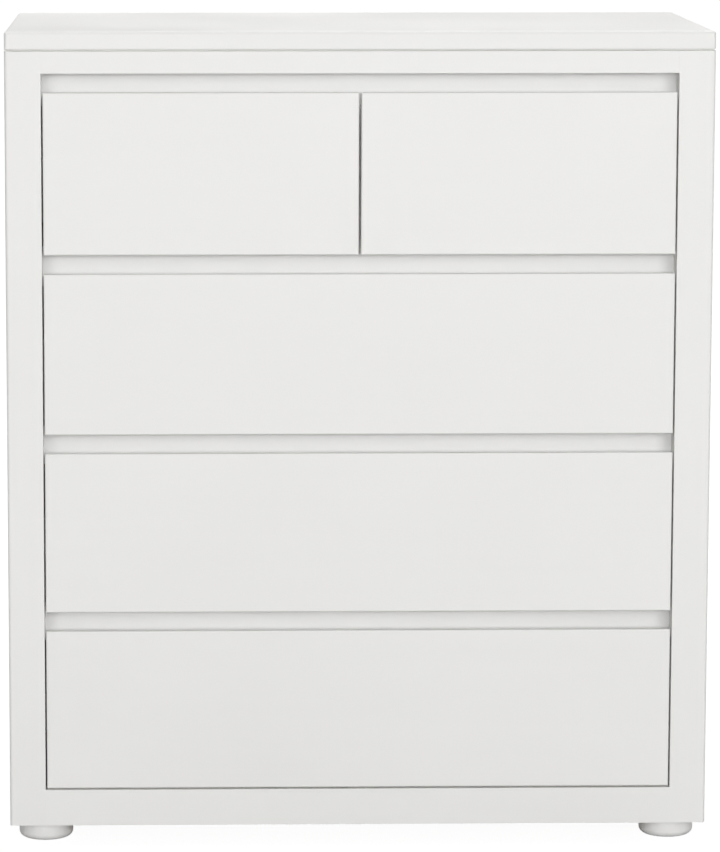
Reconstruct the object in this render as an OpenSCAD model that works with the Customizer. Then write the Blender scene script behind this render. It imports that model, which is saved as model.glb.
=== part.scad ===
// Tall chest of drawers: two small drawers above three wide ones, set flush in a plain frame.
// X is the width, Y the depth with the front facing -Y, and Z the height. Millimetres.
// The origin lies on the floor, under the middle of the chest.

/* [Body] */
// Width of the chest
body_w = 900; // [820:10:1100]
// Depth of the chest, over the drawer fronts
body_d = 450; // [440:5:560]
// Height of the chest, from the floor to the top
body_h = 1050; // [1020:10:1200]
// Thickness of the side panels, the bottom and the divider
panel_t = 18; // [15:1:22]
// Thickness of the back panel
back_t = 5; // [3:1:8]
// Distance of the back panel from the rear edges of the sides
back_inset = 3; // [2.5:0.5:6]

/* [Top] */
// Thickness of the top board
top_t = 25; // [20:1:30]
// Height of the shadow groove under the front edge of the top
groove_h = 2.5; // [2:0.5:4]
// Depth of the shadow groove
groove_d = 10; // [6:1:14]
// Radius of the eased edges of the top and of the outer corners
edge_r = 4; // [2:0.5:6]

/* [Front frame] */
// Thickness of the stiles and rails of the frame
frame_t = 20; // [18:1:25]
// Width of the stiles
stile_w = 46; // [40:1:60]
// Height of the top rail
top_rail_h = 28; // [22:1:40]
// Height of the bottom rail
bottom_rail_h = 47; // [30:1:60]
// Distance of the finger rails from the front
rail_setback = 41; // [38:1:46]
// Thickness of the finger rails
rail_t = 18; // [15:1:20]
// Overlap of the finger rails with the front below them
rail_lap_below = 20; // [8:1:20]
// Overlap of the finger rails with the front above them
rail_lap_above = 6; // [4:1:8]
// Height of the rail behind the top of the back panel
rear_rail_h = 60; // [40:5:80]

/* [Feet] */
// Height of the feet
foot_h = 24; // [20:1:40]
// Diameter of the feet
foot_d = 70; // [50:2:80]
// Radius of the lower edge of the feet
foot_edge_r = 8; // [3:1:10]
// Distance from a side of the chest to the middle of a foot
foot_inset_x = 45; // [40:1:60]
// Distance from the front or back of the chest to the middle of a foot
foot_inset_y = 47; // [45:1:60]

/* [Drawers] */
// Thickness of the drawer fronts
front_t = 18; // [16:1:20]
// Radius of the eased edges of the fronts
front_r = 2; // [1:0.5:3]
// Bevel behind the top edge of a front, which makes room for the fingers
grip_bevel = 15; // [8:1:15]
// Gap beside a front, and under the lowest one
front_gap = 2; // [1.5:0.5:3]
// Gap between the two small fronts
centre_gap = 3; // [2:0.5:4]
// Height of the finger gap above each front
finger_gap = 24; // [18:1:30]
// Thickness of the sides and ends of the drawer boxes
box_t = 12; // [10:1:15]
// Height of the drawer boxes
box_h = 160; // [120:5:160]
// Height of a drawer box above the lower edge of its front
box_rise = 12; // [10:1:16]
// Thickness of the drawer bottoms
bottom_t = 6; // [4:1:9]

/* [Runners] */
// Length of the ball bearing runners, which is also their travel
runner_l = 400; // [350:50:400]
// Width of a runner, between the carcase and the drawer box
runner_w = 12.7; // [12.7]
// Thickness of the runner steel
runner_t = 1.2; // [1:0.1:1.5]
// Height of the cabinet member of a runner
runner_h = 45; // [42:1:48]
// Height of the battens that carry the runners
batten_h = 60; // [50:5:70]

/* [Hidden] */
$fn = 64;

DRAWERS = [1, 2, 3, 4, 5];
RAILS = [1, 2, 3, 4];
DRAWER_PIECES = ["front", "sides", "inner_front", "box_back", "bottom", "runners"];
FOOT_PLACES = ["front_left", "front_right", "rear_left", "rear_right"];

paint = [0.93, 0.93, 0.92];
box_wood = [0.86, 0.78, 0.64];
batten_wood = [0.80, 0.66, 0.45];
steel = [0.70, 0.71, 0.73];

// Planes of the carcase
side_x = body_w / 2;
panel_x = side_x - panel_t;
opening_x = side_x - stile_w;
return_x = opening_x + 1;
front_y = -body_d / 2;
frame_y = front_y + frame_t;
rail_y = front_y + rail_setback;
behind_rail_y = rail_y + rail_t;
rear_y = body_d / 2;
back_y = rear_y - back_inset - back_t;
carcase_z = foot_h;
bottom_top_z = carcase_z + panel_t;
opening_z = carcase_z + bottom_rail_h;
top_z = body_h - top_t;
opening_top_z = top_z - top_rail_h;

// Rows of drawers, counted from the top, and the drawers in them
row_count = 4;
front_h = (opening_top_z - opening_z - front_gap - row_count * finger_gap) / row_count;
row_pitch = front_h + finger_gap;
function row_z(row) = opening_top_z - finger_gap - front_h - (row - 1) * row_pitch;
function drawer_row(n) = n < 3 ? 1 : n - 1;
function drawer_z(n) = row_z(drawer_row(n));

// Widths that a drawer fills: [left wall, right wall] for the runners and [left, right] for the front
divider_x = panel_t / 2;
front_x = opening_x - front_gap;
function wall_span(n) =
    n == 1 ? [-return_x, -divider_x] :
    n == 2 ? [divider_x, return_x] : [-return_x, return_x];
function front_span(n) =
    n == 1 ? [-front_x, -centre_gap / 2] :
    n == 2 ? [centre_gap / 2, front_x] : [-front_x, front_x];

// Drawer boxes
box_y = front_y + front_t;
box_l = runner_l;
function box_span(n) = [wall_span(n)[0] + runner_w, wall_span(n)[1] - runner_w];
function box_z(n) = drawer_z(n) + box_rise;

// Runners: three nested channels, measured from the wall that carries them
runner_y = frame_y + 1;
ball_gap = 3.8;
middle_h = runner_h - 2 * (runner_t + ball_gap);
inner_h = middle_h - 2 * (runner_t + ball_gap);
cabinet_lip = 11.5;
middle_web = 3.6;
middle_lip = 11;
inner_lip = 5.8;
function runner_z(row) = row_z(row) + box_rise + bottom_t + box_h / 2;

// The shelf that carries the divider, between the small and the wide drawers, and the
// gap between the divider's nose and the drawer fronts
shelf_t = 15;
shelf_z = row_z(2) + front_h + (finger_gap - shelf_t) / 2;
nose_gap = 4;

// Screws of the back panel
screw_head_d = 8;
screw_head_h = 2;
screw_d = 3.5;
screw_l = 14;

// Rectangle from the origin with rounded corners; radii go round from the lower left
module eased_rect(w, h, radii) {
    corners = [[0, 0], [w, 0], [w, h], [0, h]];
    difference() {
        square([w, h]);
        for (i = [0:3])
            if (radii[i] > 0)
                translate(corners[i])
                    rotate(90 * i)
                        corner_cut(radii[i]);
    }
}

module corner_cut(r) {
    difference() {
        translate([-1, -1])
            square(r + 1);
        translate([r, r])
            circle(r);
    }
}

// Plain board between two corners
module board(low, high) {
    translate(low)
        cube(high - low);
}

// Copies its children to the left and the right
module both_sides() {
    for (side = [0, 1])
        mirror([side, 0, 0])
            children();
}

module top_board() {
    plan = [edge_r, edge_r, 0, 0];
    color(paint)
        difference() {
            intersection() {
                translate([-side_x, front_y, top_z])
                    linear_extrude(top_t)
                        eased_rect(body_w, body_d, plan);
                translate([-side_x, front_y, top_z])
                    rotate([90, 0, 90])
                        linear_extrude(body_w)
                            eased_rect(body_d, top_t, [0, 0, 1, edge_r]);
                translate([-side_x, rear_y, top_z])
                    rotate([90, 0, 0])
                        linear_extrude(body_d)
                            eased_rect(body_w, top_t, [0, 0, edge_r, edge_r]);
            }
            board([-side_x - 1, front_y - 1, top_z - 1], [side_x + 1, front_y + groove_d, top_z + groove_h]);
        }
}

module side_panel() {
    color(paint)
        board([panel_x, frame_y, carcase_z], [side_x, rear_y, top_z]);
}

module stile() {
    color(paint)
        translate([opening_x, front_y, carcase_z])
            linear_extrude(top_z - carcase_z)
                eased_rect(stile_w, frame_t, [0, edge_r, 0, 0]);
}

// Strip behind the stile that closes the side of the finger gaps
module return_strip() {
    color(paint)
        board([return_x, frame_y, bottom_top_z], [panel_x, rail_y, top_z]);
}

module top_rail() {
    color(paint)
        board([-opening_x, front_y, opening_top_z], [opening_x, frame_y, top_z]);
}

module bottom_rail() {
    color(paint)
        board([-opening_x, front_y, carcase_z], [opening_x, frame_y, opening_z]);
}

// Rail behind the finger gap of a row; the first one reaches up to the top board
module finger_rail(row) {
    low = row_z(row) + front_h - rail_lap_below;
    high = row == 1 ? top_z : row_z(row) + row_pitch + rail_lap_above;
    color(paint)
        board([-panel_x, rail_y, low], [panel_x, behind_rail_y, high]);
}

// Wall between the small drawers; its nose carries the runners forward between the finger rails
module centre_divider() {
    nose_low = row_z(1) + rail_lap_above;
    nose_high = row_z(1) + front_h - rail_lap_below;
    color(paint) {
        board([-divider_x, behind_rail_y, shelf_z + shelf_t], [divider_x, back_y - panel_t, top_z]);
        board([-divider_x, box_y + nose_gap, nose_low], [divider_x, behind_rail_y + 1, nose_high]);
    }
}

module divider_shelf() {
    color(box_wood)
        board([-panel_x, behind_rail_y, shelf_z], [panel_x, back_y, shelf_z + shelf_t]);
}

module bottom_panel() {
    color(box_wood)
        board([-panel_x, frame_y, carcase_z], [panel_x, back_y, bottom_top_z]);
}

module back_panel() {
    color(paint)
        board([-panel_x, back_y, carcase_z], [panel_x, back_y + back_t, top_z]);
}

module rear_top_rail() {
    color(box_wood)
        board([-panel_x, back_y - panel_t, top_z - rear_rail_h], [panel_x, back_y, top_z]);
}

// Low round foot with a rounded lower edge
module foot(place) {
    side = search([place], FOOT_PLACES)[0] % 2 == 0 ? -1 : 1;
    end = search([place], FOOT_PLACES)[0] < 2 ? -1 : 1;
    r = foot_d / 2;
    color(paint)
        translate([side * (side_x - foot_inset_x), end * (rear_y - foot_inset_y), 0])
            rotate_extrude()
                eased_rect(r, foot_h, [0, foot_edge_r, 0, 0]);
}

// Battens on the side panels that bring the runners level with the return strips
module runner_battens() {
    color(batten_wood)
        both_sides()
            for (row = RAILS)
                translate([0, 0, runner_z(row)])
                    board([return_x, rail_y, -batten_h / 2], [panel_x, back_y, batten_h / 2]);
}

// Steel channel along Y: its web faces a wall at X = web and its flanges reach to X = lip
module channel(web, lip, h) {
    outer = min(web, lip);
    depth = abs(lip - web);
    hollow = lip > web ? web + runner_t : lip - 1;
    translate([0, runner_y, 0])
        rotate([90, 0, 0])
            mirror([0, 0, 1])
                linear_extrude(runner_l)
                    difference() {
                        translate([outer, -h / 2])
                            square([depth, h]);
                        translate([hollow, -h / 2 + runner_t])
                            square([depth - runner_t + 1, h - 2 * runner_t]);
                    }
}

// Places its children against the left and the right wall of a drawer, at the height of its runners
module at_walls(n) {
    translate([wall_span(n)[0], 0, runner_z(drawer_row(n))])
        children();
    translate([wall_span(n)[1], 0, runner_z(drawer_row(n))])
        mirror([1, 0, 0])
            children();
}

module cabinet_runners() {
    color(steel)
        for (n = DRAWERS)
            at_walls(n)
                channel(0, cabinet_lip, runner_h);
}

module middle_runners(n) {
    color(steel)
        at_walls(n)
            channel(middle_web, middle_lip, middle_h);
}

module drawer_runners(n) {
    color(steel)
        at_walls(n)
            channel(runner_w, inner_lip, inner_h);
}

// Section of a drawer front: eased front edges, and the grip bevel behind the top one
module front_section() {
    difference() {
        eased_rect(front_t, front_h, [front_r, 0, 0, front_r]);
        polygon([
            [front_t + 1, front_h - grip_bevel - 1],
            [front_t + 1, front_h + 1],
            [front_t - grip_bevel - 1, front_h + 1]
        ]);
    }
}

// Drawer front with eased edges and corners
module drawer_front(n) {
    left = front_span(n)[0];
    width = front_span(n)[1] - left;
    color(paint)
        translate([left, front_y, drawer_z(n)])
            intersection() {
                linear_extrude(front_h)
                    eased_rect(width, front_t, [front_r, front_r, 0, 0]);
                rotate([90, 0, 90])
                    linear_extrude(width)
                        front_section();
                translate([0, front_t, 0])
                    rotate([90, 0, 0])
                        linear_extrude(front_t)
                            eased_rect(width, front_h, [front_r, front_r, front_r, front_r]);
            }
}

module drawer_sides(n) {
    left = box_span(n)[0];
    right = box_span(n)[1];
    color(box_wood)
        for (x = [left, right - box_t])
            translate([x, box_y, box_z(n) + bottom_t])
                cube([box_t, box_l, box_h]);
}

// One end of a drawer box, between its sides
module drawer_end(n, y) {
    left = box_span(n)[0] + box_t;
    right = box_span(n)[1] - box_t;
    color(box_wood)
        translate([left, y, box_z(n) + bottom_t])
            cube([right - left, box_t, box_h]);
}

module drawer_bottom(n) {
    left = box_span(n)[0];
    right = box_span(n)[1];
    color(paint)
        translate([left, box_y, box_z(n)])
            cube([right - left, box_l, bottom_t]);
}

module drawer_piece(n, piece) {
    if (piece == "front") drawer_front(n);
    if (piece == "sides") drawer_sides(n);
    if (piece == "inner_front") drawer_end(n, box_y);
    if (piece == "box_back") drawer_end(n, box_y + box_l - box_t);
    if (piece == "bottom") drawer_bottom(n);
    if (piece == "runners") drawer_runners(n);
}

// Round-headed screw, pointing into the chest from the back panel
module back_screw() {
    rotate([90, 0, 0]) {
        translate([0, 0, -screw_head_h])
            cylinder(h = screw_head_h, d1 = 0.7 * screw_head_d, d2 = screw_head_d);
        cylinder(h = screw_l, d = screw_d);
    }
}

// Screws into the battens, the bottom, the shelf and the rear rail
module back_screws() {
    batten_middle = (return_x + panel_x) / 2;
    columns = [-0.75, -0.25, 0.25, 0.75];
    color(steel) {
        for (row = RAILS)
            both_sides()
                translate([batten_middle, back_y + back_t, runner_z(row)])
                    back_screw();
        for (z = [carcase_z + panel_t / 2, shelf_z + shelf_t / 2, top_z - rear_rail_h / 2], column = columns)
            translate([column * panel_x, back_y + back_t, z])
                back_screw();
    }
}

top_board();
mirror([1, 0, 0]) side_panel();  // side_panel_left
side_panel();  // side_panel_right
mirror([1, 0, 0]) stile();  // stile_left
stile();  // stile_right
mirror([1, 0, 0]) return_strip();  // return_strip_left
return_strip();  // return_strip_right
top_rail();
bottom_rail();
for (i = RAILS)
    finger_rail(i);
centre_divider();
divider_shelf();
bottom_panel();
back_panel();
rear_top_rail();
for (place = FOOT_PLACES)
    foot(place);
runner_battens();
cabinet_runners();
back_screws();
for (n = DRAWERS)
    middle_runners(n);
for (n = DRAWERS, piece = DRAWER_PIECES)
    drawer_piece(n, piece);
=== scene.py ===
"""Looks of the tall chest of drawers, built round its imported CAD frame.

Metres, with the front facing -Y.
"""

import math
import random

import bmesh
import bpy
from mathutils import Euler, Matrix, Vector


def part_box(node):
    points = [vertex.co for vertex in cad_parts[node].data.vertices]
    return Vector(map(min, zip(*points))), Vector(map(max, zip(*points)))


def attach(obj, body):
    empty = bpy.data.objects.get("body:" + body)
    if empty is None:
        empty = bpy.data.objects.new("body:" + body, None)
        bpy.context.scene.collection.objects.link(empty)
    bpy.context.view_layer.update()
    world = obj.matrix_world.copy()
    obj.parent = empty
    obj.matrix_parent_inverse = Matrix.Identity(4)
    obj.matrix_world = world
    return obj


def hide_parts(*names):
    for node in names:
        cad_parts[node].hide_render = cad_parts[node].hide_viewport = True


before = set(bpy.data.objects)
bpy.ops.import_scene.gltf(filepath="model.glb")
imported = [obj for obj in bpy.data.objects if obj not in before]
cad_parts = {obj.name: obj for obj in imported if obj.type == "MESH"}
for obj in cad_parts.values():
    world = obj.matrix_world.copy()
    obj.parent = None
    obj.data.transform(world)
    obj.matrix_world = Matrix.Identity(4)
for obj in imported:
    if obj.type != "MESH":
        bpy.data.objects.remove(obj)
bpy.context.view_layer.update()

MM = 0.001
DRAWERS = (1, 2, 3, 4, 5)
SMALL_DRAWERS = (1, 2)
ONE_OF_EACH_ROW = (1, 3, 4, 5)

# Camera: place, degrees down and to the right, lens and shift
CAMERA_PLACE = (-0.225, -5.225, 1.339)
CAMERA_DOWN = 7.65
CAMERA_RIGHT = 1.09
CAMERA_LENS = 167.4
CAMERA_SHIFT = (0.12, -0.11)
CAMERA_REACH = 300.0

# World: how far a direction points along the axis, the light there, and what the camera sees
WORLD_AXIS = (0.0, 0.6, 0.8)
WORLD_TURN = (-0.3, 0.6)
WORLD_LIGHT = (0.0, 0.15)
WORLD_SEEN = 1.05

# Floor: its reach, its glow over a distance from the middle, the colour on which the shadow
# shows, and the grey that the light meets
FLOOR_REACH = 100.0
FLOOR_GLOW = (0.96, 1.02)
FLOOR_GLOW_DISTANCE = (0.5, 1.5)
FLOOR_SHADE = (0.09, 0.09, 0.09, 1)
FLOOR_GREY = (0.45, 0.45, 0.45, 1)

# Softboxes: name, place, aim, width and height, watts
SOFTBOXES = (
    ("front_left", (-2.2, -8.5, 1.8), (0, 0, 0.55), (4.0, 1.35), 203.0),
    ("front_right", (2.2, -8.5, 1.8), (0, 0, 0.55), (4.0, 1.35), 175.0),
    ("high_right", (2.2, -8.5, 3.2), (0, 0, 0.55), (4.0, 1.35), 124.0),
    ("high_left", (-2.2, -8.5, 4.9), (0, 0, 0.55), (4.0, 1.6), 67.0),
    ("overhead", (0.2, 1.3, 3.4), (0, 0.1, 0.9), (4.0, 2.0), 88.0),
    ("side_left", (-5.0, -1.6, 1.7), (0, 0, 0.6), (2.4, 2.0), 12.0),
    ("side_right", (5.0, -1.6, 1.7), (0, 0, 0.6), (2.4, 2.0), 25.0),
    ("rear_left", (-3.0, 4.4, 1.9), (0, 0, 0.6), (2.4, 2.0), 40.0),
    ("rear_right", (3.0, 4.4, 1.9), (0, 0, 0.6), (2.4, 2.0), 40.0),
)

# Base colours; for wood, of its light and its dark parts
WHITE = (0.905, 0.900, 0.883)
# A lighter white for the finger rails: painted light that brightens their shaded recesses
RAIL_WHITE_PAINTED_LIGHT = (0.941, 0.941, 0.936)
WORN_PAINT = (0.62, 0.60, 0.55)
SPECK = (0.35, 0.33, 0.30)
BIRCH = ((0.74, 0.60, 0.43), (0.58, 0.43, 0.28))
PINE = ((0.72, 0.54, 0.34), (0.52, 0.34, 0.18))
BOARD_FACE = (0.76, 0.755, 0.74)
BOARD_CORE = (0.45, 0.34, 0.23)
ZINC = (0.66, 0.67, 0.69)
SCREW_ZINC = (0.60, 0.60, 0.61)
CAGE_STEEL = (0.50, 0.49, 0.46)
BALL_STEEL = (0.72, 0.72, 0.73)

# Sockets of the Mix node that hold colours
COLOUR_A, COLOUR_B, COLOUR_RESULT = 6, 7, 2

# Largest offset of a board's texture
TEXTURE_SHIFT = 40.0

# Ease of the unpainted boards' edges
BOARD_WELD = 0.01 * MM
BOARD_EASE = 0.7 * MM
SHARP_ANGLE = math.radians(40)

# Runners, as in the CAD: the web of the middle member from the wall, and the steel
MIDDLE_WEB = 3.6 * MM
STEEL = 1.2 * MM

# Ball cages: distance from the wall, and from the runner's middle line
OUTER_CAGE = (7.6 * MM, 19.4 * MM)
INNER_CAGE = (8.4 * MM, 14.4 * MM)
CAGE_START = 6.0 * MM
CAGE_WIDTH = 5.0 * MM
CAGE_THICKNESS = 0.8 * MM
CAGE_CORNER = 1.5 * MM
CAGE_PITCH = 16.0 * MM
CAGE_BALLS = 12
CAGE_END = 5.0 * MM
BALL_RADIUS = 1.85 * MM
RIM_RADIUS = BALL_RADIUS + 0.55 * MM
RIM_WALL = 0.35 * MM
RIM_HEIGHT = 0.65 * MM
RIM_SHOULDER = 0.6 * RIM_HEIGHT
RIM_SEGMENTS = 12

# Screw heads: radius and height, and the dome as shares of the two
PAN_HEAD = (4.0 * MM, 1.9 * MM)
LOW_HEAD = (3.4 * MM, 1.4 * MM)
FLAT_HEAD = (3.3 * MM, 0.5 * MM)
HEAD_ROOT = 0.4 * MM
HEAD_DOME = ((1.0, 0.22), (0.93, 0.58), (0.74, 0.86), (0.42, 0.98), (0, 1.0))
HEAD_SEGMENTS = 28

# Cross recess: half its length, its width, its floor and its top as shares of the head, and
# how it narrows towards its floor along and across a wing
RECESS_REACH = 0.52
RECESS_WIDTH = 0.26
RECESS_FLOOR = 0.30
RECESS_TOP = 1.3
RECESS_TAPER = (0.45, 0.8)

# Where screws go along a board, as shares of its half width or of its width
BACK_SHARES = (-0.75, -0.25, 0.25, 0.75)
SMALL_FRONT_SHARES = (0.12, 0.88)
WIDE_FRONT_SHARES = (0.05, 0.35, 0.65, 0.95)

# Where screws go on a drawer: from the front and the rear of a runner, and from the edges
CABINET_RUNNER_ENDS = (26 * MM, 30 * MM)
DRAWER_RUNNER_ENDS = (30 * MM, 34 * MM)
DRAWER_RUNNER_MIDDLE = 190 * MM
INNER_FRONT_INSET = 38 * MM
CORNER_INSET = (6 * MM, 20 * MM)

# Seeds of the screws' turns
BACK_SEED, RUNNER_SEED, DRAWER_SEED = 7, 11, 20

scene = bpy.context.scene
scene.view_settings.view_transform = "Standard"


# ---------------------------------------------------------------- camera, light and floor


def make_camera():
    """A long lens a little above the top and left of the middle, looking slightly down."""
    data = bpy.data.cameras.new("camera")
    data.sensor_width = 36.0
    data.lens = CAMERA_LENS
    data.shift_x, data.shift_y = CAMERA_SHIFT
    data.clip_end = CAMERA_REACH
    camera = bpy.data.objects.new("camera", data)
    camera.location = CAMERA_PLACE
    camera.rotation_euler = Euler((math.radians(90 - CAMERA_DOWN), 0, math.radians(-CAMERA_RIGHT)))
    scene.collection.objects.link(camera)
    scene.camera = camera


def map_range(tree, value, before, after, smooth=False):
    """Maps a value from one range to another, on a straight line or an S curve."""
    node = tree.nodes.new("ShaderNodeMapRange")
    if smooth:
        node.interpolation_type = "SMOOTHSTEP"
    names = ("From Min", "From Max", "To Min", "To Max")
    for name, number in zip(names, (*before, *after)):
        node.inputs[name].default_value = number
    tree.links.new(value, node.inputs["Value"])
    return node.outputs["Result"]


def make_world():
    """Soft light that is bright above and behind and dim in front; the camera sees plain white."""
    world = bpy.data.worlds.new("studio")
    world.use_nodes = True
    scene.world = world
    tree = world.node_tree
    background = tree.nodes["Background"]
    background.inputs["Color"].default_value = (1, 1, 1, 1)
    coords = tree.nodes.new("ShaderNodeTexCoord")
    toward = tree.nodes.new("ShaderNodeVectorMath")
    toward.operation = "DOT_PRODUCT"
    toward.inputs[1].default_value = WORLD_AXIS
    tree.links.new(coords.outputs["Generated"], toward.inputs[0])
    level = map_range(tree, toward.outputs["Value"], WORLD_TURN, WORLD_LIGHT)
    path = tree.nodes.new("ShaderNodeLightPath")
    seen = tree.nodes.new("ShaderNodeMix")
    seen.inputs["B"].default_value = WORLD_SEEN
    tree.links.new(path.outputs["Is Camera Ray"], seen.inputs["Factor"])
    tree.links.new(level, seen.inputs["A"])
    tree.links.new(seen.outputs["Result"], background.inputs["Strength"])


def add_softbox(name, location, target, size, power):
    data = bpy.data.lights.new(name, "AREA")
    data.shape = "RECTANGLE"
    data.size, data.size_y = size
    data.energy = power
    lamp = bpy.data.objects.new(name, data)
    lamp.location = location
    lamp.visible_camera = False
    aim = Vector(target) - Vector(location)
    lamp.rotation_euler = aim.to_track_quat("-Z", "Y").to_euler()
    scene.collection.objects.link(lamp)


def make_floor():
    """White where the camera sees it, with a faint contact shadow; a matt grey for the light."""
    mesh = bpy.data.meshes.new("floor")
    signs = ((-1, -1), (1, -1), (1, 1), (-1, 1))
    corners = [(x * FLOOR_REACH, y * FLOOR_REACH, 0) for x, y in signs]
    mesh.from_pydata(corners, [], [(0, 1, 2, 3)])
    floor = bpy.data.objects.new("floor", mesh)
    scene.collection.objects.link(floor)
    material = bpy.data.materials.new("floor")
    material.use_nodes = True
    tree = material.node_tree
    shader = tree.nodes["Principled BSDF"]
    shader.inputs["Base Color"].default_value = FLOOR_SHADE
    shader.inputs["Roughness"].default_value = 1.0
    shader.inputs["Specular IOR Level"].default_value = 0.0
    shader.inputs["Emission Color"].default_value = (1, 1, 1, 1)
    coords = tree.nodes.new("ShaderNodeTexCoord")
    away = tree.nodes.new("ShaderNodeVectorMath")
    away.operation = "LENGTH"
    tree.links.new(coords.outputs["Object"], away.inputs[0])
    distance = away.outputs["Value"]
    glow = map_range(tree, distance, FLOOR_GLOW_DISTANCE, FLOOR_GLOW, smooth=True)
    tree.links.new(glow, shader.inputs["Emission Strength"])
    matt = tree.nodes.new("ShaderNodeBsdfDiffuse")
    matt.inputs["Color"].default_value = FLOOR_GREY
    path = tree.nodes.new("ShaderNodeLightPath")
    seen = tree.nodes.new("ShaderNodeMixShader")
    tree.links.new(path.outputs["Is Camera Ray"], seen.inputs[0])
    tree.links.new(matt.outputs[0], seen.inputs[1])
    tree.links.new(shader.outputs[0], seen.inputs[2])
    tree.links.new(seen.outputs[0], tree.nodes["Material Output"].inputs["Surface"])
    mesh.materials.append(material)


# ---------------------------------------------------------------- finishes


class Finish:
    """A material being built: node() adds a node, and values in its inputs may be sockets."""

    def __init__(self, name):
        self.material = bpy.data.materials.new(name)
        self.material.use_nodes = True
        self.tree = self.material.node_tree
        self.shader = self.tree.nodes["Principled BSDF"]

    def node(self, kind, inputs=(), output=0, **settings):
        made = self.tree.nodes.new("ShaderNode" + kind)
        for key, value in settings.items():
            setattr(made, key, value)
        for key, value in dict(inputs).items():
            self.put(made.inputs[key], value)
        return made.outputs[output]

    def put(self, socket, value):
        if isinstance(value, bpy.types.NodeSocket):
            self.tree.links.new(value, socket)
        else:
            socket.default_value = value

    def set(self, **inputs):
        for key, value in inputs.items():
            self.put(self.shader.inputs[key.replace("_", " ")], value)

    def math(self, operation, *values):
        return self.node("Math", dict(enumerate(values)), operation=operation)

    def vector_math(self, operation, *values):
        return self.node("VectorMath", dict(enumerate(values)), operation=operation)

    def mix(self, share, a, b):
        """Colour between a and b."""
        inputs = {"Factor": share, COLOUR_A: a, COLOUR_B: b}
        return self.node("Mix", inputs, output=COLOUR_RESULT, data_type="RGBA")

    def tint(self, tone, mask, share, colour):
        """A tone with a share of a colour where the mask is 1."""
        return self.mix(self.math("MULTIPLY", mask, share), tone, colour)

    def steps(self, value, low, high, to_low=0.0, to_high=1.0):
        """Smooth step of a value from low..high to to_low..to_high."""
        return map_range(self.tree, value, (low, high), (to_low, to_high), smooth=True)

    def fact(self, name):
        """A vector that give_board_facts() has stored on the object."""
        settings = {"attribute_name": name, "attribute_type": "OBJECT"}
        return self.node("Attribute", output="Vector", **settings)

    def place(self):
        """Position on the object, shifted by its own offset, so that no two boards match."""
        position = self.node("TexCoord", output="Object")
        return self.vector_math("ADD", position, self.fact("shift"))

    def noise(self, place, scale, detail=3.0, roughness=0.5):
        """Noise from 0 to 1; the scale is the same each way, or has a number for each axis."""
        scale = scale if isinstance(scale, tuple) else (scale,) * 3
        inputs = {
            "Vector": self.vector_math("MULTIPLY", place, scale),
            "Scale": 1.0,
            "Detail": detail,
            "Roughness": roughness,
        }
        return self.node("TexNoise", inputs)

    def edge(self, near, far):
        """1 along the edges of a board, fading to 0 between two distances from them."""
        position = self.node("TexCoord", output="Object")
        from_low = self.vector_math("SUBTRACT", position, self.fact("low"))
        from_high = self.vector_math("SUBTRACT", self.fact("high"), position)
        nearest = self.vector_math("MINIMUM", from_low, from_high)
        split = self.tree.nodes.new("ShaderNodeSeparateXYZ")
        self.tree.links.new(nearest, split.inputs[0])
        a, b, c = split.outputs
        # On a face one of the three distances is 0, so the middle one leads to the edge
        smallest = self.math("MINIMUM", self.math("MINIMUM", a, b), c)
        largest = self.math("MAXIMUM", self.math("MAXIMUM", a, b), c)
        total = self.math("ADD", self.math("ADD", a, b), c)
        middle = self.math("SUBTRACT", self.math("SUBTRACT", total, smallest), largest)
        return self.steps(middle, near, far, 1.0, 0.0)

    def bump(self, height, distance, normal=None):
        inputs = {"Height": height, "Distance": distance}
        if normal is not None:
            inputs["Normal"] = normal
        return self.node("Bump", inputs)


def shade(colour, by):
    return (*(min(c * by, 1.0) for c in colour), 1.0)


def along(axis, run, across):
    """Noise scale that stretches a texture along an axis."""
    return tuple(run if name == axis else across for name in "XYZ")


def paint(name, colour, axis, wear=0.10):
    """Satin paint brushed along an axis: faint strokes, clouds, smudges and rubbed edges."""
    f = Finish(name)
    place = f.place()
    clouds = f.noise(place, 4.0, detail=4.0)
    strokes = f.noise(place, along(axis, 9.0, 330.0), detail=2.0)
    broad_strokes = f.noise(place, along(axis, 3.0, 60.0), detail=2.0)
    smudges = f.steps(f.noise(place, 7.0, detail=6.0, roughness=0.65), 0.62, 0.80)
    cells = f.node("TexVoronoi", {"Vector": place, "Scale": 9.0})
    specks = f.steps(cells, 0.004, 0.007, 1.0, 0.0)
    patchy = f.steps(f.noise(place, 24.0, detail=5.0), 0.48, 0.66)
    rubbed = f.math("MULTIPLY", f.edge(0.4 * MM, 2.2 * MM), patchy)

    tone = f.mix(clouds, shade(colour, 0.975), shade(colour, 1.02))
    tone = f.tint(tone, broad_strokes, 0.30, shade(colour, 0.965))
    tone = f.tint(tone, smudges, 0.35, shade(colour, 0.94))
    tone = f.tint(tone, rubbed, wear, shade(WORN_PAINT, 1.0))
    tone = f.tint(tone, specks, 0.35, shade(SPECK, 1.0))

    rough = f.steps(clouds, 0.3, 0.7, 0.40, 0.50)
    rough = f.math("ADD", rough, f.math("MULTIPLY", smudges, -0.06))
    rough = f.math("ADD", rough, f.math("MULTIPLY", strokes, 0.05))
    peel = f.noise(place, 420.0, detail=2.0)
    normal = f.bump(peel, 0.01 * MM)
    normal = f.bump(strokes, 0.03 * MM, normal)
    f.set(Base_Color=tone, Roughness=rough, Normal=normal)
    return f.material


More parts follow.
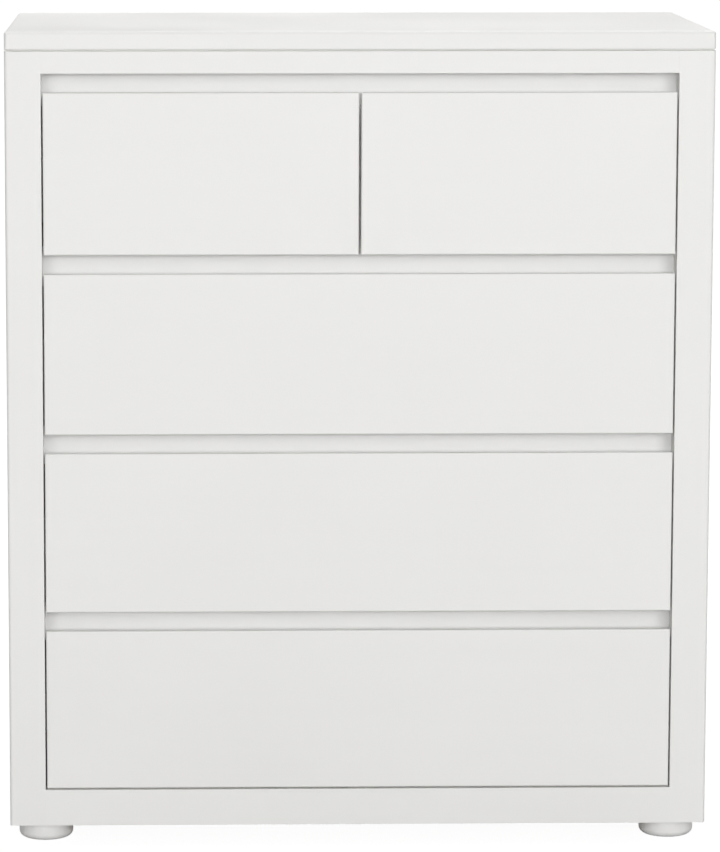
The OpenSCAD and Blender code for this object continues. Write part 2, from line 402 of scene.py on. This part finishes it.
def wood(name, colours, axis, rings=14.0, gloss=0.55):
    """Lacquered wood with its grain along an axis."""
    light, dark = colours
    f = Finish(name)
    place = f.place()
    bend = f.noise(place, along(axis, 1.2, 7.0), detail=2.0)
    bands = f.math("FRACT", f.math("MULTIPLY", bend, rings))
    ring = f.math("PINGPONG", f.math("MULTIPLY", bands, 2.0), 1.0)
    fibres = f.noise(place, along(axis, 14.0, 700.0), detail=3.0)
    pores = f.steps(f.noise(place, along(axis, 40.0, 1500.0), detail=1.0), 0.60, 0.72)
    clouds = f.noise(place, 5.0, detail=3.0)

    tone = f.tint(shade(light, 1.0), ring, 0.55, shade(dark, 1.0))
    tone = f.tint(tone, fibres, 0.45, shade(dark, 0.95))
    tone = f.tint(tone, clouds, 0.25, shade(light, 1.08))
    tone = f.tint(tone, pores, 0.30, shade(dark, 0.65))
    tone = f.tint(tone, f.edge(0.3 * MM, 1.6 * MM), 0.25, shade(dark, 0.80))

    rough = f.steps(fibres, 0.3, 0.7, gloss - 0.06, gloss + 0.08)
    normal = f.bump(fibres, 0.04 * MM)
    normal = f.bump(pores, -0.05 * MM, normal)
    f.set(Base_Color=tone, Roughness=rough, Normal=normal)
    return f.material


def hardboard(name, colour):
    """White-faced hardboard with a faint fibrous grain."""
    f = Finish(name)
    place = f.place()
    clouds = f.noise(place, 3.0, detail=4.0)
    fibres = f.noise(place, 500.0, detail=4.0, roughness=0.7)
    weave = f.noise(place, along("X", 900.0, 90.0), detail=2.0)
    flecks = f.steps(f.noise(place, 240.0, detail=2.0), 0.68, 0.76)

    tone = f.mix(clouds, shade(colour, 0.96), shade(colour, 1.03))
    tone = f.tint(tone, flecks, 0.18, shade(colour, 0.82))
    tone = f.tint(tone, f.edge(0.4 * MM, 1.5 * MM), 0.3, shade(BOARD_CORE, 1.0))

    rough = f.steps(fibres, 0.3, 0.7, 0.50, 0.62)
    normal = f.bump(fibres, 0.02 * MM)
    normal = f.bump(weave, 0.02 * MM, normal)
    f.set(Base_Color=tone, Roughness=rough, Normal=normal)
    return f.material


def steel(name, colour, axis, roughness):
    """Steel drawn along an axis, with cloudy plating and scuffs."""
    f = Finish(name)
    place = f.place()
    clouds = f.noise(place, 30.0, detail=5.0)
    drawn = f.noise(place, along(axis, 10.0, 1400.0), detail=3.0)
    scuffs = f.steps(f.noise(place, along(axis, 50.0, 260.0), detail=4.0), 0.60, 0.75)

    tone = f.mix(clouds, shade(colour, 0.90), shade(colour, 1.06))
    tone = f.tint(tone, scuffs, 0.35, shade(colour, 0.72))

    rough = f.steps(clouds, 0.3, 0.7, roughness - 0.06, roughness + 0.10)
    rough = f.math("ADD", rough, f.math("MULTIPLY", scuffs, 0.12))
    normal = f.bump(drawn, 0.02 * MM)
    f.set(Base_Color=tone, Roughness=rough, Normal=normal, Metallic=1.0)
    return f.material


finishes = {
    "paint_x": paint("paint_x", WHITE, "X"),
    "paint_z": paint("paint_z", WHITE, "Z"),
    # The feet's paint is the white made 3% darker: painted shade for their place under the chest
    "paint_foot": paint("paint_foot", shade(WHITE, 0.97)[:3], "X", wear=0.0),
    # The finger rails' lighter paint is painted light in the shaded gaps behind the drawer fronts
    "paint_rail": paint("paint_rail", RAIL_WHITE_PAINTED_LIGHT, "X", wear=0.0),
    "box_x": wood("box_x", BIRCH, "X"),
    "box_y": wood("box_y", BIRCH, "Y"),
    "carcase_x": wood("carcase_x", PINE, "X", rings=10.0, gloss=0.65),
    "carcase_y": wood("carcase_y", PINE, "Y", rings=10.0, gloss=0.65),
    "board": hardboard("board", BOARD_FACE),
    "runner_steel": steel("runner_steel", ZINC, "Y", 0.34),
    "screw_steel": steel("screw_steel", SCREW_ZINC, "X", 0.30),
    "cage_steel": steel("cage_steel", CAGE_STEEL, "Y", 0.40),
    "ball_steel": steel("ball_steel", BALL_STEEL, "X", 0.12),
}


def finish_of(node):
    """Which finish a CAD node gets."""
    # Feet take the darker paint, painted shade under the chest
    if node.startswith("foot_"):
        return "paint_foot"
    # Finger rails take the lighter paint, painted light in their shaded recesses
    if node.startswith("finger_rail"):
        return "paint_rail"
    if "runners" in node:
        return "runner_steel"
    if node == "back_screws":
        return "screw_steel"
    if node == "back_panel" or (node.startswith("drawer_") and node.endswith("_bottom")):
        return "board"
    if node == "runner_battens":
        return "carcase_y"
    if node in ("divider_shelf", "bottom_panel", "rear_top_rail"):
        return "carcase_x"
    if node.endswith("_sides"):
        return "box_y"
    if node.endswith(("_inner_front", "_box_back")):
        return "box_x"
    if node.startswith(("side_panel", "stile", "return_strip", "centre_divider")):
        return "paint_z"
    return "paint_x"


def dress_cad_nodes():
    for name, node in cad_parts.items():
        give_board_facts(node)
        for slot in node.material_slots:
            slot.material = finishes[finish_of(name)]


# ---------------------------------------------------------------- mesh helpers


def give_board_facts(piece):
    """The box and texture offset that the finishes read."""
    corners = [Vector(c) for c in piece.bound_box]
    piece["low"] = [min(c[i] for c in corners) for i in range(3)]
    piece["high"] = [max(c[i] for c in corners) for i in range(3)]
    chance = random.Random(piece.name)
    piece["shift"] = [chance.uniform(-TEXTURE_SHIFT, TEXTURE_SHIFT) for _ in range(3)]


def finished(name, bm, finish, body, smooth=40.0):
    """Turns a bmesh into a piece that rides on a body; edges up to smooth degrees are soft."""
    mesh = bpy.data.meshes.new(name)
    bm.to_mesh(mesh)
    bm.free()
    for polygon in mesh.polygons:
        polygon.use_smooth = True
    mesh.set_sharp_from_angle(angle=math.radians(smooth))
    mesh.materials.append(finishes[finish])
    piece = bpy.data.objects.new(name, mesh)
    scene.collection.objects.link(piece)
    give_board_facts(piece)
    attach(piece, body)
    return piece


def lathe(bm, profile, segments):
    """Turns (radius, height) points round Z; a profile that starts off the axis is closed."""
    angles = [math.tau * i / segments for i in range(segments)]
    rings = []
    for radius, height in profile:
        if radius == 0:
            rings.append([bm.verts.new((0, 0, height))])
        else:
            spots = [(radius * math.cos(a), radius * math.sin(a), height) for a in angles]
            rings.append([bm.verts.new(spot) for spot in spots])
    if len(rings[0]) > 1:
        rings.append(rings[0])
    for lower, upper in zip(rings, rings[1:]):
        for i in range(segments):
            j = (i + 1) % segments
            corners = [lower[i % len(lower)], lower[j % len(lower)]]
            corners += [upper[j % len(upper)], upper[i % len(upper)]]
            unique = list(dict.fromkeys(corners))
            bm.faces.new(unique)


def add_mesh(bm, mesh, matrix):
    """Adds a copy of a mesh, placed by a matrix."""
    before = len(bm.verts)
    bm.from_mesh(mesh)
    bm.verts.ensure_lookup_table()
    bmesh.ops.transform(bm, matrix=matrix, verts=bm.verts[before:])


def place_into(bm, part, matrix):
    """Moves a small bmesh into a larger one."""
    mesh = bpy.data.meshes.new("part")
    part.to_mesh(mesh)
    part.free()
    add_mesh(bm, mesh, matrix)
    bpy.data.meshes.remove(mesh)


def carve(name, solid, cutter):
    """Mesh of one bmesh minus another."""
    objects = []
    for part, label in ((solid, "solid"), (cutter, "cutter")):
        mesh = bpy.data.meshes.new(label)
        part.to_mesh(mesh)
        part.free()
        made = bpy.data.objects.new(label, mesh)
        scene.collection.objects.link(made)
        objects.append(made)
    modifier = objects[0].modifiers.new("carve", "BOOLEAN")
    modifier.operation = "DIFFERENCE"
    modifier.solver = "EXACT"
    modifier.use_self = True
    modifier.object = objects[1]
    depsgraph = bpy.context.evaluated_depsgraph_get()
    result = bpy.data.meshes.new_from_object(objects[0].evaluated_get(depsgraph))
    result.name = name
    for made in objects:
        mesh = made.data
        bpy.data.objects.remove(made)
        bpy.data.meshes.remove(mesh)
    return result


# ---------------------------------------------------------------- boards and ball cages


def soften_boards():
    """Eases the sharp edges of the unpainted boards."""
    endings = ("_sides", "_inner_front", "_box_back", "_bottom")
    boards = [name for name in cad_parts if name.endswith(endings)]
    boards += ["divider_shelf", "rear_top_rail", "runner_battens", "bottom_panel"]
    for name in boards:
        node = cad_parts[name]
        weld = node.modifiers.new("weld", "WELD")
        weld.merge_threshold = BOARD_WELD
        bevel = node.modifiers.new("ease", "BEVEL")
        bevel.width = BOARD_EASE
        bevel.segments = 2
        bevel.limit_method = "ANGLE"
        bevel.angle_limit = SHARP_ANGLE
        node.modifiers.new("normals", "WEIGHTED_NORMAL")


def runner_walls(n):
    """The X of the wall and the way into the drawer for each side, and the Z of the runners."""
    low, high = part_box(f"middle_runners_{n}")
    return ((low.x - MIDDLE_WEB, 1), (high.x + MIDDLE_WEB, -1)), (low.z + high.z) / 2


def make_cage_strip(length):
    """A flat strip along Y with rounded corners."""
    strip = bmesh.new()
    bmesh.ops.create_cube(strip, size=1.0)
    scale = Vector((CAGE_WIDTH, length, CAGE_THICKNESS))
    bmesh.ops.scale(strip, vec=scale, verts=strip.verts)
    upright = [e for e in strip.edges if e.verts[0].co.z * e.verts[1].co.z < 0]
    settings = {"segments": 3, "affect": "EDGES", "profile": 0.5}
    bmesh.ops.bevel(strip, geom=upright, offset=CAGE_CORNER, **settings)
    return strip


def make_cage_rim():
    """The raised ring round a ball."""
    inner = RIM_RADIUS - RIM_WALL
    profile = [(inner, RIM_HEIGHT), (RIM_RADIUS, RIM_SHOULDER)]
    profile += [(RIM_RADIUS, -RIM_SHOULDER), (inner, -RIM_HEIGHT)]
    rim = bmesh.new()
    lathe(rim, profile, RIM_SEGMENTS)
    return rim


def add_cage(bm, balls, x, z, start):
    """A strip with a row of rims, and a ball in each."""
    length = CAGE_PITCH * (CAGE_BALLS - 1) + 2 * CAGE_END
    place_into(bm, make_cage_strip(length), Matrix.Translation((x, start + length / 2, z)))
    for i in range(CAGE_BALLS):
        centre = Matrix.Translation((x, start + CAGE_END + i * CAGE_PITCH, z))
        place_into(bm, make_cage_rim(), centre)
        ball = bmesh.new()
        bmesh.ops.create_icosphere(ball, subdivisions=2, radius=BALL_RADIUS)
        place_into(balls, ball, centre)


def make_cage_piece(name, drawers, distances, body):
    """The cages and balls of some drawers' runners, above and below their middle lines."""
    across, gap = distances
    cages, balls = bmesh.new(), bmesh.new()
    for n in drawers:
        walls, z = runner_walls(n)
        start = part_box(f"middle_runners_{n}")[0].y + CAGE_START
        for wall, inward in walls:
            for side in (-1, 1):
                add_cage(cages, balls, wall + inward * across, z + side * gap, start)
    finished(name, cages, "cage_steel", body, smooth=50.0)
    finished(name + "_balls", balls, "ball_steel", body, smooth=180.0)


def make_cages():
    make_cage_piece("ball_cages_outer", DRAWERS, OUTER_CAGE, "carcase")
    for n in DRAWERS:
        make_cage_piece(f"ball_cages_inner_{n}", [n], INNER_CAGE, f"runner_pair_{n}")


# ---------------------------------------------------------------- screws


def make_screw_head(name, radius, height):
    """Domed screw head with a cross recess; it stands on Z = 0."""
    # It is carved in millimetres, because the boolean is rough on very small meshes
    r, h, root = radius / MM, height / MM, HEAD_ROOT / MM
    head = bmesh.new()
    profile = [(0, -root), (0.55 * r, -root), (0.95 * r, 0)]
    profile += [(across * r, up * h) for across, up in HEAD_DOME]
    lathe(head, profile, HEAD_SEGMENTS)
    bmesh.ops.recalc_face_normals(head, faces=head.faces)
    cutter = bmesh.new()
    for turn in (0, 90):
        wing = bmesh.new()
        bmesh.ops.create_cube(wing, size=1.0)
        for v in wing.verts:
            at_top = v.co.z > 0
            taper_x, taper_y = (1.0, 1.0) if at_top else RECESS_TAPER
            v.co.x *= 2 * RECESS_REACH * r * taper_x
            v.co.y *= RECESS_WIDTH * r * taper_y
            v.co.z = (RECESS_TOP if at_top else RECESS_FLOOR) * h
        place_into(cutter, wing, Matrix.Rotation(math.radians(turn), 4, "Z"))
    result = carve(name, head, cutter)
    result.transform(Matrix.Scale(MM, 4))
    return result


def drive_screws(seed, screws):
    """A bmesh of screw heads from (head, place, direction), each turned by chance."""
    bm = bmesh.new()
    turns = random.Random(seed)
    for head, place, direction in screws:
        spin = Matrix.Rotation(turns.uniform(0, math.pi), 4, "Z")
        aim = Vector(direction).to_track_quat("Z", "Y").to_matrix().to_4x4()
        add_mesh(bm, head, Matrix.Translation(place) @ aim @ spin)
    return bm


def make_back_screws(head):
    """Pan-head screws of the back panel, with cross recesses, in place of the plain CAD ones."""
    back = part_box("back_panel")[1]
    batten_low_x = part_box("return_strip_right")[0].x
    batten_high_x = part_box("runner_battens")[1].x
    batten_x = (batten_low_x + batten_high_x) / 2
    places = []
    for n in ONE_OF_EACH_ROW:
        z = runner_walls(n)[1]
        places += [(-batten_x, z), (batten_x, z)]
    for name in ("bottom_panel", "divider_shelf", "rear_top_rail"):
        low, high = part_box(name)
        places += [(share * back.x, (low.z + high.z) / 2) for share in BACK_SHARES]
    bm = drive_screws(BACK_SEED, [(head, (x, back.y, z), (0, 1, 0)) for x, z in places])
    piece = finished("back_screw_heads", bm, "screw_steel", "carcase")
    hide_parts("back_screws")


def make_runner_screws(head):
    """Screws that hold the cabinet members of the runners to their walls."""
    low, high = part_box("cabinet_runners")
    front, rear = CABINET_RUNNER_ENDS
    screws = []
    for n in DRAWERS:
        walls, z = runner_walls(n)
        for wall, inward in walls:
            for y in (low.y + front, 0.5 * (low.y + high.y), high.y - rear):
                screws.append((head, (wall + inward * STEEL, y, z), (inward, 0, 0)))
    bm = drive_screws(RUNNER_SEED, screws)
    finished("cabinet_runner_screws", bm, "screw_steel", "carcase")


def make_drawer_screws(n, flat_head, low_head):
    """Screws inside the inner front, at the corners of the box and in the drawer's runners."""
    screws = []
    low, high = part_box(f"drawer_{n}_inner_front")
    shares = SMALL_FRONT_SHARES if n in SMALL_DRAWERS else WIDE_FRONT_SHARES
    for share in shares:
        for z in (low.z + INNER_FRONT_INSET, high.z - INNER_FRONT_INSET):
            x = low.x + share * (high.x - low.x)
            screws.append((low_head, (x, high.y, z), (0, 1, 0)))
    low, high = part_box(f"drawer_{n}_sides")
    runner_z = runner_walls(n)[1]
    inset_y, inset_z = CORNER_INSET
    front, rear = DRAWER_RUNNER_ENDS
    for x, out in ((low.x, -1), (high.x, 1)):
        for y in (low.y + inset_y, high.y - inset_y):
            for z in (low.z + inset_z, high.z - inset_z):
                screws.append((flat_head, (x, y, z), (out, 0, 0)))
        for y in (low.y + front, low.y + DRAWER_RUNNER_MIDDLE, high.y - rear):
            screws.append((low_head, (x + out * STEEL, y, runner_z), (out, 0, 0)))
    bm = drive_screws(DRAWER_SEED + n, screws)
    finished(f"drawer_{n}_screws", bm, "screw_steel", f"drawer_{n}")


def make_screws():
    pan_head = make_screw_head("pan_head", *PAN_HEAD)
    low_head = make_screw_head("low_head", *LOW_HEAD)
    flat_head = make_screw_head("flat_head", *FLAT_HEAD)
    make_back_screws(pan_head)
    make_runner_screws(low_head)
    for n in DRAWERS:
        make_drawer_screws(n, flat_head, low_head)


make_camera()
make_world()
for softbox in SOFTBOXES:
    add_softbox(*softbox)
make_floor()
dress_cad_nodes()
soften_boards()
make_cages()
make_screws()
